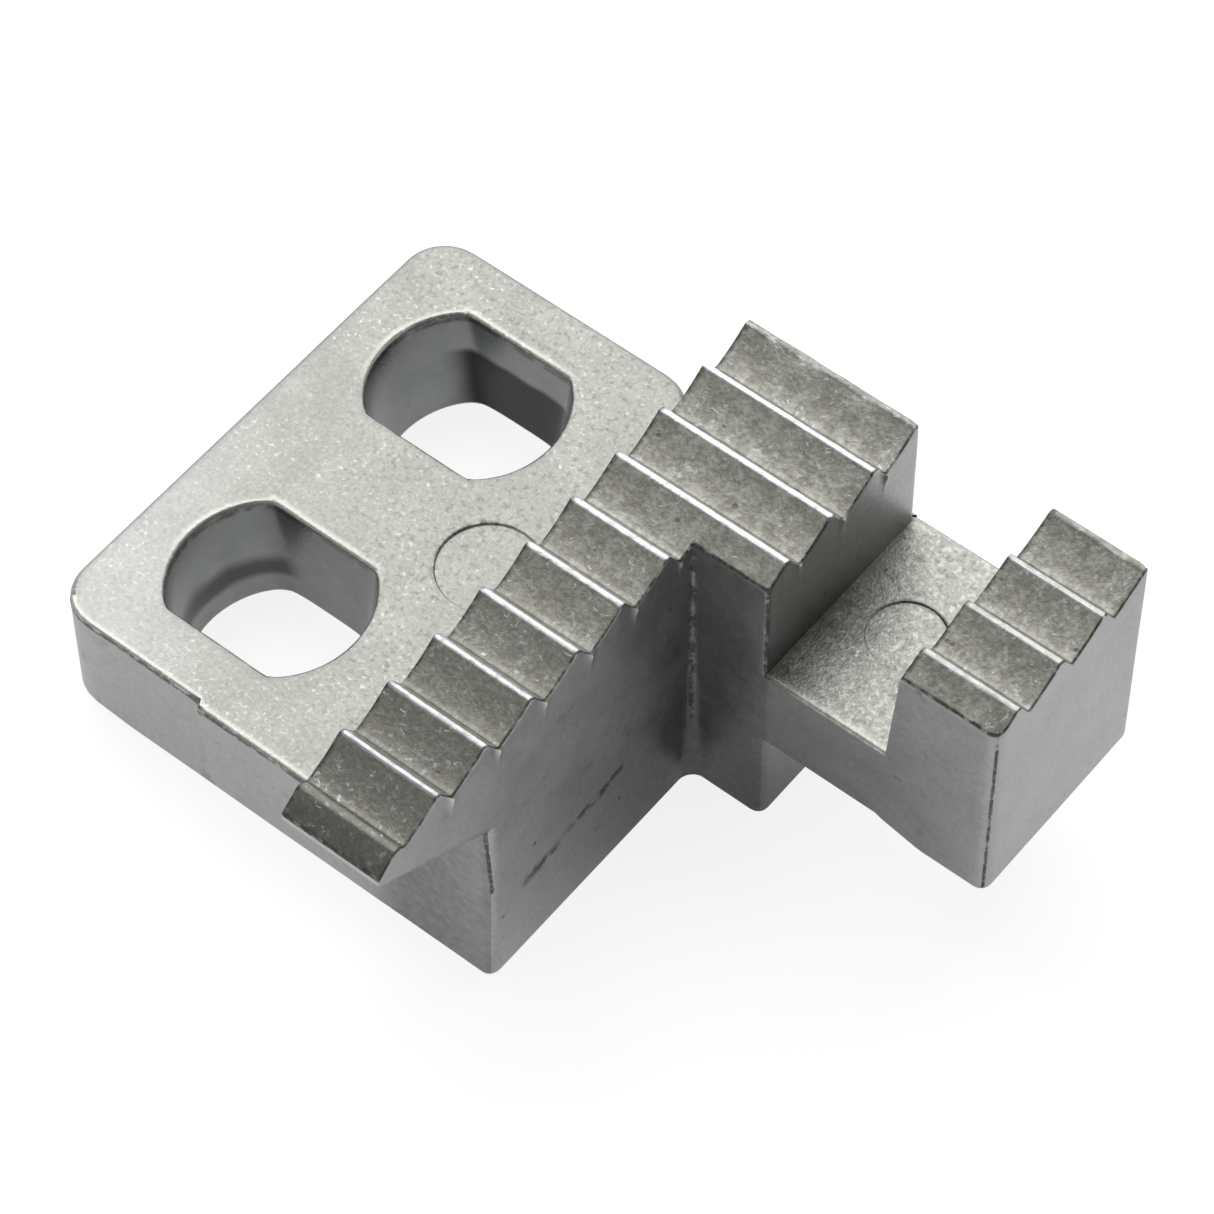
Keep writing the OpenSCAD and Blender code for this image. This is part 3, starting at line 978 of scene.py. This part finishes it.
def open_group(name, **inputs):
    """An empty node group that takes a position and these values: its nodes and its inputs."""
    group = bpy.data.node_groups.new(name, "ShaderNodeTree")
    kinds = {"Position": "NodeSocketVector", **dict.fromkeys(inputs, "NodeSocketFloat")}
    for key, kind in kinds.items():
        socket = group.interface.new_socket(name=key, in_out="INPUT", socket_type=kind)
        if key in inputs:
            socket.default_value = inputs[key]
    source = group.nodes.new("NodeGroupInput").outputs
    return Nodes(group, source["Position"]), source


def close_group(nodes, **results):
    """Gives a group its float outputs, and returns the group."""
    group = nodes.tree
    for key in results:
        group.interface.new_socket(name=key, in_out="OUTPUT", socket_type="NodeSocketFloat")
    target = group.nodes.new("NodeGroupOutput").inputs
    for key, value in results.items():
        group.links.new(value, target[key])
    return group


def grain_group():
    """Fine grain and broad mottling of moulded steel."""
    nodes, source = open_group("Steel Grain", Grain=0.09 * MM, Mottle=1.1 * MM)
    fine = nodes.noise(source["Grain"], detail=3, roughness=0.6)
    broad = nodes.noise(source["Mottle"], detail=3, roughness=0.55)
    return close_group(
        nodes, Grain=nodes.ramp(fine, 0.25, 0.75), Mottle=nodes.ramp(broad, 0.3, 0.7)
    )


def pits_group():
    """Small round pits in a share of the cells of a Voronoi pattern."""
    nodes, source = open_group("Steel Pits", Spacing=0.5 * MM, Share=0.2, Size=0.2)
    scale = nodes.math("DIVIDE", 1.0, source["Spacing"])
    cells = nodes.put("ShaderNodeTexVoronoi", {"Vector": nodes.position, "Scale": scale})
    pick = nodes.put("ShaderNodeSeparateColor", {0: cells["Color"]})[1]
    chosen = nodes.math("LESS_THAN", pick, source["Share"])
    inner = nodes.times(source["Size"], 0.4)
    hole = nodes.ramp(cells["Distance"], inner, source["Size"], 1.0, 0.0)
    return close_group(nodes, Pits=nodes.times(chosen, hole))


def scratch_group():
    """Short curled scratches: level lines of one noise, kept where a second noise is high."""
    nodes, source = open_group("Steel Scratches", Size=0.9 * MM, Width=0.012, Share=0.6)
    lines = nodes.noise(source["Size"], detail=0, distortion=0.4)
    off = nodes.math("ABSOLUTE", nodes.math("SUBTRACT", lines, 0.5))
    thin = nodes.ramp(off, 0.0, source["Width"], 1.0, 0.0)
    where = nodes.noise(nodes.times(source["Size"], 0.8))
    kept = nodes.ramp(where, source["Share"], nodes.math("ADD", source["Share"], 0.05))
    return close_group(nodes, Scratches=nodes.times(thin, kept))


def grime_and_shade_group():
    """Broken dark lines and blotches of grime and of painted shade: what a place is marked with,
    times patchy noise.
    """
    nodes, source = open_group("Steel Grime", Ink=0.0, Nook=0.0, Patch=0.5 * MM)
    patches = nodes.noise(source["Patch"], detail=3)
    broken = nodes.ramp(patches, 0.3, 0.55, 0.25, 1.0)
    line = nodes.ramp(nodes.times(source["Ink"], broken), 0.1, 0.75)
    line = nodes.times(line, nodes.spots(0.12 * MM, 0.2, 0.6, 0.6, 1.0))
    shade_cloud = nodes.times(source["Nook"], nodes.ramp(patches, 0.2, 0.8, 0.55, 0.85))
    return close_group(nodes, Grime=nodes.math("MAXIMUM", line, shade_cloud))


def new_material(name):
    """An empty material: the material, its nodes and its shader's inputs."""
    material = bpy.data.materials.new(name)
    material.use_nodes = True
    tree = material.node_tree
    return material, Nodes(tree), tree.nodes["Principled BSDF"].inputs


class Steel(Nodes):
    """One steel: its nodes, with the grain, and the grime and painted shade, that every steel has.
    """

    def __init__(self, name, groups, grain, mottle, patch=0.5 * MM):
        self.material, nodes, self.shader = new_material(name)
        super().__init__(nodes.tree, nodes.position)
        self.shader["Metallic"].default_value = 1.0
        self.groups = groups
        grained = self.use("grain", Grain=grain, Mottle=mottle)
        self.grain, self.mottle = grained["Grain"], grained["Mottle"]
        # grime, and painted shade in corners and along edges, from the casting's attributes
        ink, nook = self.attribute("ink"), self.attribute("nook")
        self.grime = self.use("grime", Ink=ink, Nook=nook, Patch=patch)["Grime"]

    def use(self, group, **inputs):
        """Places one of the shared node groups and gives its outputs."""
        inputs = {"Position": self.position, **inputs}
        return self.put("ShaderNodeGroup", inputs, node_tree=self.groups[group])

    def grained(self, strength):
        """A mask over the grain's dark spots."""
        return self.ramp(self.grain, 0.0, 1.0, strength, 0.0)

    def finish(self, base, roughness, height, depth):
        """Feeds the colour, the roughness and bumps of that full depth, and gives the material."""
        bump = self.put("ShaderNodeBump", {"Height": height, "Distance": depth, "Strength": 1.0})
        self.tree.links.new(base, self.shader["Base Color"])
        self.tree.links.new(roughness, self.shader["Roughness"])
        self.tree.links.new(bump["Normal"], self.shader["Normal"])
        return self.material


def satin_top(c, groups):
    """Light satin steel: soft grain, a few dark specks, and painted light: warm glints, sparkle on
    the arm, a pale sheen on the outer part, darker rims and bright front rims.
    """
    steel = Steel("satin_top", groups, grain=c.grain, mottle=1.8 * MM)
    pits = steel.use("pits", Spacing=0.6 * MM, Share=0.1, Size=0.12)["Pits"]
    aside = steel.put(
        "ShaderNodeVectorMath", {0: steel.position, 1: (1.0, 0.6, 0.0)}, operation="DOT_PRODUCT"
    )["Value"]
    on_arm = steel.attribute("tip")
    # painted glints: warm specks of reflected light over the plate, and a painted sparkle over the
    # arm's top
    glint = steel.times(
        steel.spots(0.15 * MM, 0.55, 0.8), steel.spots(3.5 * MM, 0.35, 0.65, 0.3, 1.0)
    )
    painted_sparkle = steel.spots(0.16 * MM, 0.45, 0.7, 0.04, 0.6, detail=3)
    speck = steel.spots(0.22 * MM, 0.5, 0.68, 0.0, 0.6, detail=4, roughness=0.65)
    rough = steel.math("MAXIMUM", steel.ramp(aside, -3 * MM, 2 * MM, 0.25, 1.0), on_arm)
    base = steel.paint(
        steel.blend(steel.mottle, rgba(c.top, 0.93), rgba(c.top, 1.05)),
        (rgba(c.top, 0.55), steel.grained(0.3)),
        (rgba(c.glint), glint, 0.7),
        (rgba(c.glint, 0.8), painted_sparkle, on_arm),
        # painted light: a pale sheen over the plate's outer part
        (PAINTED_SHEEN, steel.ramp(aside, -7 * MM, -2.5 * MM, 0.14, 0.0)),
        (rgba(c.top, 0.45), speck, rough),
        (rgba(c.grime, 3), pits, 0.5),
        # painted shade over the rounded outer rim and the slots' near rims
        (rgba(c.wall, 0.75), steel.attribute("rim"), 0.75),
        # painted highlights over the polished rims
        (rgba(c.glint), steel.attribute("edge"), 0.8),
        (rgba(c.grime), steel.grime, 0.85),
    )
    roughness = steel.ramp(steel.grain, 0.0, 1.0, 0.44, 0.36)
    return steel.finish(
        base, roughness, steel.total(steel.grain, (glint, 1.0), (pits, -1.5)), 0.005 * MM
    )


def tooth_face(c, groups):
    """Worn steel of the teeth: mottled and lighter towards the back as painted light, with polished
    tips under a painted highlight, a painted bluish sheen at the valleys, painted glinting flecks
    and curled scratches.
    """
    steel = Steel("tooth_face", groups, grain=0.13 * MM, mottle=0.4 * MM, patch=0.3 * MM)
    pits = steel.use("pits", Spacing=0.45 * MM, Share=0.18, Size=0.22)["Pits"]
    scratches = steel.use("scratches", Size=0.35 * MM, Width=0.03)["Scratches"]
    back = steel.put("ShaderNodeSeparateXYZ", {0: steel.position})["Y"]
    # painted light: the teeth get lighter towards the back, and their polish and valley sheen with
    # them
    painted_light_to_back = steel.ramp(back, -12 * MM, 1 * MM)
    tip = steel.attribute("tip")
    # painted bluish sheen at the foot of each tooth, stronger towards the back
    sheen_at_foot = steel.ramp(tip, 0.0, 0.65, 1.0, 0.0)
    # painted glints: bright flecks clustered over the toothed faces
    painted_glint_fleck = steel.spots(0.16 * MM, 0.54, 0.74, 0.0, 0.6, detail=3)
    clustered = steel.spots(0.9 * MM, 0.4, 0.65, 0.25, 1.0)
    patchy = steel.spots(0.25 * MM, 0.3, 0.6, 0.55, 1.0, detail=3)
    lighter_to_back = steel.ramp(painted_light_to_back, 0.0, 1.0, 0.75, 1.0)
    # polish of the tips with a painted highlight over it, lighter towards the back
    polish_and_highlight_mask = steel.times(steel.attribute("edge"), patchy, lighter_to_back)
    bright = steel.math("MAXIMUM", polish_and_highlight_mask, steel.times(scratches, 0.7))
    base = steel.paint(
        steel.blend(painted_light_to_back, rgba(c.tooth, 0.6), rgba(c.tooth, 1.2)),
        (rgba(c.stain), steel.ramp(steel.mottle, 0.0, 1.0, 0.55, 0.0)),
        (rgba(c.stain, 0.7), steel.ramp(tip, 0.35, 0.95, 0.0, 0.3)),
        (rgba(c.valley), sheen_at_foot, steel.ramp(painted_light_to_back, 0.0, 0.5, 0.45, 1.0)),
        (rgba(c.tooth, 0.3), steel.grained(0.45)),
        (rgba(c.grime, 2), pits, 0.5),
        (rgba(c.tip), painted_glint_fleck, clustered),
        (rgba(c.tip), bright),
        (rgba(c.grime), steel.grime, 0.9),
    )
    height = steel.total(steel.grain, (steel.mottle, 0.7), (pits, -1.5), (scratches, 1.0))
    return steel.finish(base, steel.ramp(polish_and_highlight_mask, 0.0, 1.0, 0.42, 0.3), height, 0.006 * MM)


def moulded_wall(c, groups):
    """Mid-grey moulded walls, set darker than the tops as painted shade: soft grain, small pits,
    thin scratches, bright edges with painted highlights, and dark edges and nooks of grime and
    painted shade.
    """
    steel = Steel("moulded_wall", groups, grain=0.15 * MM, mottle=1.6 * MM, patch=0.28 * MM)
    pits = steel.use("pits", Spacing=0.7 * MM, Share=0.14, Size=0.13)["Pits"]
    drawn = steel.put(
        "ShaderNodeMapping", {"Vector": steel.position, "Scale": (1.0, 1.0, 0.12)}
    )[0]
    scratches = steel.use(
        "scratches", Position=drawn, Size=0.7 * MM, Width=0.006, Share=0.66
    )["Scratches"]
    streaks = Nodes(steel.tree, drawn).spots(0.3 * MM, 0.35, 0.75, 0.0, 0.12, detail=3)
    smudges = steel.spots(1.1 * MM, 0.61, 0.74, 0.0, 0.38, detail=4, roughness=0.65)
    base = steel.paint(
        steel.blend(steel.mottle, rgba(c.wall, 0.93), rgba(c.wall, 1.06)),
        (rgba(c.wall, 1.3), streaks),
        (rgba(c.wall, 0.5), steel.grained(0.28)),
        (rgba(c.haze), steel.spots(0.9 * MM, 0.35, 0.65, 0.0, 0.4)),
        (rgba(c.grime), smudges),
        (rgba(c.top, 1.4), scratches, 0.3),
        # bright burrs and edges: polish with painted highlights
        (rgba(c.top, 1.6), steel.attribute("edge"), 0.8),
        (rgba(c.grime), steel.grime, 0.95),
        (rgba(c.grime), pits, 0.8),
    )
    height = steel.total(steel.grain, (scratches, 1.0), (pits, -3.0))
    return steel.finish(base, steel.ramp(steel.mottle, 0.0, 1.0, 0.34, 0.42), height, 0.003 * MM)


def slot_wall(c, groups):
    """Smoother steel inside the screw slots, darker than the walls as painted shade, with a band
    and a pool of painted shade.
    """
    steel = Steel("slot_wall", groups, grain=c.grain, mottle=1.2 * MM)
    high = steel.put("ShaderNodeSeparateXYZ", {0: steel.position})["Z"]
    level = steel.total(high, (steel.noise(1.2 * MM, detail=1), 0.3 * MM))
    above, below = steel.ramp(level, 0.8 * MM, 1.15 * MM), steel.ramp(level, 1.4 * MM, 2 * MM, 1, 0)
    # painted shade: a dark band on the front slot's arc and a dark pool low on the back slot's far
    # flat
    band = steel.times(above, below, steel.attribute("band"), 0.75)
    pool = steel.times(steel.ramp(level, 2.3 * MM, 2.6 * MM, 1, 0), steel.attribute("pool"))
    base = steel.paint(
        steel.blend(steel.mottle, rgba(c.slot, 0.85), rgba(c.slot, 1.1)),
        (rgba(c.grime, 0.5), steel.math("MAXIMUM", band, pool)),
        (rgba(c.grime), steel.grime, 0.8),
    )
    roughness = steel.ramp(steel.mottle, 0.0, 1.0, 0.24, 0.34)
    return steel.finish(base, roughness, steel.grain, 0.002 * MM)


# ---------------------------------------------------------------- stage


def in_scene(name, data):
    """A new object in the scene."""
    item = bpy.data.objects.new(name, data)
    bpy.context.scene.collection.objects.link(item)
    return item


def floor_material(c):
    """Pale floor, lifted to white only for what looks at it, so that it keeps the shadow.

    What the steel shows of the floor carries a painted shadow in the recess beside the row.
    """
    material, nodes, shader = new_material("pale_floor")
    shader["Base Color"].default_value = rgba(c.floor)
    shader["Roughness"].default_value = 0.9
    shader["Specular IOR Level"].default_value = 0.0
    shader["Emission Color"].default_value = (1, 1, 1, 1)
    path = nodes.put("ShaderNodeLightPath")
    mirrored = nodes.math("MAXIMUM", path["Is Glossy Ray"], path["Is Transmission Ray"])
    away = nodes.put(
        "ShaderNodeVectorMath", {0: nodes.position, 1: c.recess}, operation="DISTANCE"
    )["Value"]
    # the floor as the steel reflects it: a painted shadow in the recess, and a little dimmer
    # elsewhere
    recess_shadow, elsewhere = 0.18, 0.89
    mirrored = nodes.times(mirrored, nodes.ramp(away, 0.0, c.recess_r, recess_shadow, elsewhere))
    seen = nodes.math("MAXIMUM", path["Is Camera Ray"], mirrored)
    nodes.tree.links.new(nodes.times(seen, c.floor_lift), shader["Emission Strength"])
    return material


def stage_floor(c):
    """Pale floor that curves up to a backdrop all round, as one turned profile.

    The profile is a flat radius, a quarter arc and a short upright, carried round the z axis.
    """
    flat_r, arc_r, wall_h = 0.55, 0.25, 0.1
    bend = np.linspace(0, math.pi / 2, 25)
    radius = np.concatenate([[0.001, 0.05, 0.15], flat_r + arc_r * np.sin(bend), [flat_r + arc_r]])
    height = np.concatenate([[0, 0, 0], arc_r * (1 - np.cos(bend)), [arc_r + wall_h]])
    turn = np.linspace(0, 2 * math.pi, 96, endpoint=False)
    x, y = radius[:, None] * np.cos(turn), radius[:, None] * np.sin(turn)
    points = np.stack([x, y, np.broadcast_to(height[:, None], x.shape)], 2).reshape(-1, 3)
    ring = np.arange(len(turn))
    step = np.arange(len(radius) - 1)[:, None] * len(turn)
    outer, after = step + len(turn), (ring + 1) % len(turn)
    quads = np.stack([step + ring, outer + ring, outer + after, step + after], 2)
    mesh = bpy.data.meshes.new("floor")
    mesh.from_pydata(points.tolist(), [], [*quads.reshape(-1, 4).tolist(), ring.tolist()])
    mesh.shade_smooth()
    mesh.materials.append(floor_material(c))
    floor = in_scene("floor", mesh)


def area_lamp(name, direction, distance, width, height, brightness):
    """A rectangular lamp that faces the piece. Brightness is what a mirror would show of it."""
    data = bpy.data.lights.new(name, "AREA")
    data.shape = "RECTANGLE"
    data.size, data.size_y = width, height
    data.energy = brightness * math.pi * width * height
    lamp = in_scene(name, data)
    towards = Vector(direction).normalized()
    lamp.location = (Vector(LOW) + Vector(HIGH)) / 2 + towards * distance
    lamp.rotation_euler = towards.to_track_quat("Z", "Y").to_euler()


def stage_world(c):
    """Even grey surroundings."""
    world = bpy.data.worlds.new("room")
    world.use_nodes = True
    background = world.node_tree.nodes["Background"]
    background.inputs["Color"].default_value = (1, 1, 1, 1)
    background.inputs["Strength"].default_value = c.room
    bpy.context.scene.world = world


def stage_camera(c):
    """The camera, from its two angles, its roll and its distance from the point it looks at."""
    data = bpy.data.cameras.new("camera")
    data.lens, data.sensor_width = c.lens, 36
    data.clip_start, data.clip_end = 0.005, 10
    camera = in_scene("camera", data)
    level = math.cos(c.elevation)
    back = Vector((
        math.sin(c.azimuth) * level, -math.cos(c.azimuth) * level, math.sin(c.elevation)
    ))
    turn = (-back).to_track_quat("-Z", "Y").to_matrix() @ Matrix.Rotation(c.roll, 3, "Z")
    camera.matrix_world = Matrix.Translation(Vector(c.target) + back * c.distance) @ turn.to_4x4()
    bpy.context.scene.camera = camera


# ---------------------------------------------------------------- operators and panel


class OBJECT_OT_feed_dog_casting(bpy.types.Operator):
    """Build the feed dog's finished skin in place of its plain solid"""

    bl_idname = "object.feed_dog_casting"
    bl_label = "Build Casting"

    def execute(self, context):
        sizes, colours = context.scene.feed_dog_sizes, context.scene.feed_dog_colours
        mesh = mesh_from_quads("casting", *casting_skin(sizes))
        groups = {
            "grain": grain_group(), "pits": pits_group(),
            "scratches": scratch_group(), "grime": grime_and_shade_group(),
        }
        for make in (satin_top, tooth_face, moulded_wall, slot_wall):
            mesh.materials.append(make(colours, groups))
        casting = in_scene("feed_dog_casting", mesh)
        casting.modifiers.new("even_normals", "WEIGHTED_NORMAL").keep_sharp = True
        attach(casting, BODY)
        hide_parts(NODE)
        return {"FINISHED"}


class OBJECT_OT_feed_dog_stage(bpy.types.Operator):
    """Set the floor, lamps, surroundings and camera"""

    bl_idname = "object.feed_dog_stage"
    bl_label = "Set Stage"

    def execute(self, context):
        settings = context.scene.feed_dog_stage
        stage_floor(settings)
        area_lamp("key_lamp", (-0.45, 0.5, 0.74), 0.5, 0.7, 0.75, settings.key)
        area_lamp("fill_lamp", (0.85, 0.4, 0.35), 0.5, 0.3, 0.2, settings.fill)
        area_lamp("front_lamp", (-0.3, -0.35, 0.89), 0.5, 0.4, 0.4, settings.front)
        stage_world(settings)
        stage_camera(settings)
        context.scene.view_settings.view_transform = "Standard"
        return {"FINISHED"}


class VIEW3D_PT_feed_dog(bpy.types.Panel):
    """Sizes, colours and stage of the feed dog"""

    bl_label = "Feed Dog"
    bl_space_type = "VIEW_3D"
    bl_region_type = "UI"
    bl_category = "Feed Dog"

    def draw(self, context):
        layout = self.layout
        for operator, group in (
            (OBJECT_OT_feed_dog_casting, context.scene.feed_dog_sizes),
            (OBJECT_OT_feed_dog_casting, context.scene.feed_dog_colours),
            (OBJECT_OT_feed_dog_stage, context.scene.feed_dog_stage),
        ):
            box = layout.box()
            for key in group.__annotations__:
                box.prop(group, key)
            box.operator(operator.bl_idname)


CLASSES = (
    CastingSizes, FinishColours, StageSettings,
    OBJECT_OT_feed_dog_casting, OBJECT_OT_feed_dog_stage, VIEW3D_PT_feed_dog,
)
GROUPS = {
    "feed_dog_sizes": CastingSizes,
    "feed_dog_colours": FinishColours,
    "feed_dog_stage": StageSettings,
}


def register():
    for item in CLASSES:
        bpy.utils.register_class(item)
    for name, group in GROUPS.items():
        setattr(bpy.types.Scene, name, bpy.props.PointerProperty(type=group))


def unregister():
    for name in GROUPS:
        delattr(bpy.types.Scene, name)
    for item in reversed(CLASSES):
        bpy.utils.unregister_class(item)


def main():
    """Builds everything."""
    register()
    bpy.ops.object.feed_dog_casting()
    bpy.ops.object.feed_dog_stage()


if __name__ == "__main__":
    main()
